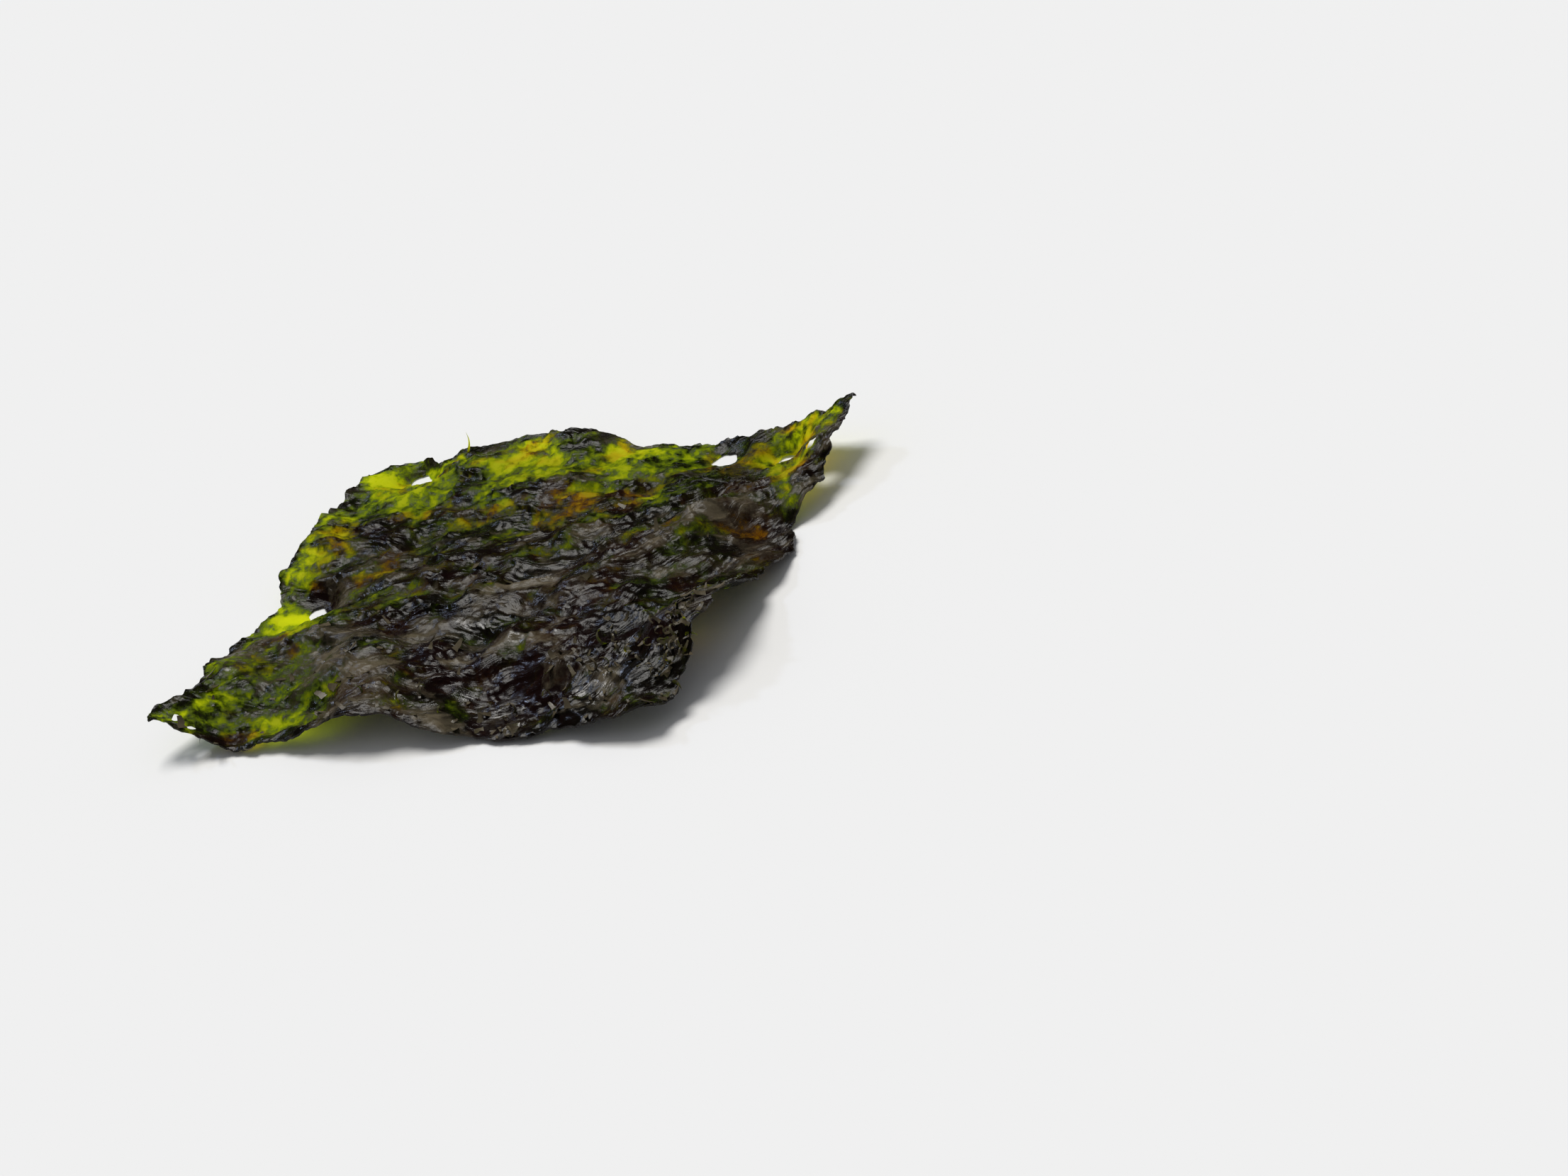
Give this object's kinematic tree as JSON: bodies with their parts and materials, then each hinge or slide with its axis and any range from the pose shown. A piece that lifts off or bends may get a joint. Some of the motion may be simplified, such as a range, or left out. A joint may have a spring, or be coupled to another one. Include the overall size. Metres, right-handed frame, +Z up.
{
  "type": "dried seaweed sheet",
  "caption": "Thin crisp square of dried roasted seaweed to eat as a snack, wavy and crinkled, with crumbled cut edges, one corner curled up and a few small holes.",
  "frame": {"origin": "middle of the bounding box's bottom, on the ground under the sheet", "axes": "+X along the front cut edge, +Y from the front edge to the back edge, +Z up through the sheet's thickness"},
  "size_m": [0.072, 0.064, 0.0085],
  "materials": {
    "laver": "roasted, oiled, crinkled"
  },
  "bodies": {
    "root": {"seaweed_sheet": "laver"}
  },
  "joints": []
}
